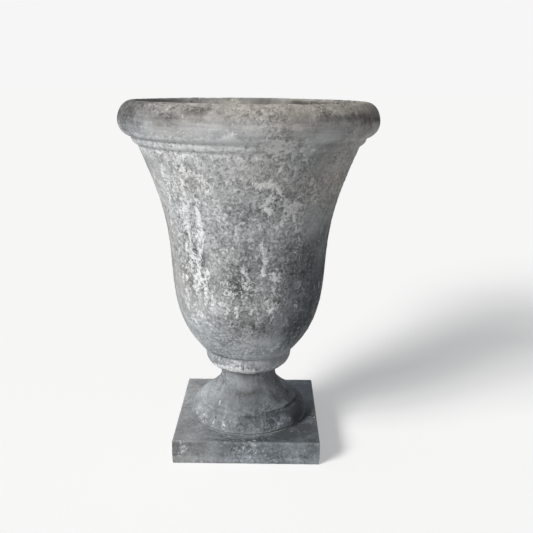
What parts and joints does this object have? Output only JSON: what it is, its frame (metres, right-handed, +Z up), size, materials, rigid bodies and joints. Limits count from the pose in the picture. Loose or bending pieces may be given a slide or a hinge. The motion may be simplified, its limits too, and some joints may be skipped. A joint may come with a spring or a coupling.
{
  "type": "garden urn",
  "caption": "Bell-shaped cast stone urn with a rolled rim on a waisted stem and square plinth, clamped by a hollow tie tube with a lift-out drain plug.",
  "frame": {"origin": "centre of the plinth's underside, on the ground", "axes": "+Z up along the urn's axis; the plinth's sides face X and Y, and its front faces -Y"},
  "size_m": [0.4292, 0.4292, 0.5978],
  "materials": {
    "cast_stone": "weathered cast stone, fine pits and pale lime bloom",
    "lime_mortar": "struck lime mortar, gritty",
    "brass": "dull brass with tarnish",
    "zinc_plated_steel": "satin zinc plate",
    "black_rubber": "matt moulded rubber"
  },
  "bodies": {
    "urn": {"plinth": "cast_stone", "foot_mortar": "lime_mortar", "stem": "cast_stone", "neck_mortar": "lime_mortar", "bowl": "cast_stone", "tie_tube": "brass", "top_seal": "black_rubber", "top_washer": "zinc_plated_steel", "top_nut": "brass", "bottom_washer": "zinc_plated_steel", "bottom_nut": "brass"},
    "plug": {"drain_plug": "black_rubber"}
  },
  "joints": [
    {"name": "plug_lift", "type": "slide", "parent": "urn", "child": "plug", "axis": [0, 0, 1], "range_m": [0, 0.42]}
  ]
}
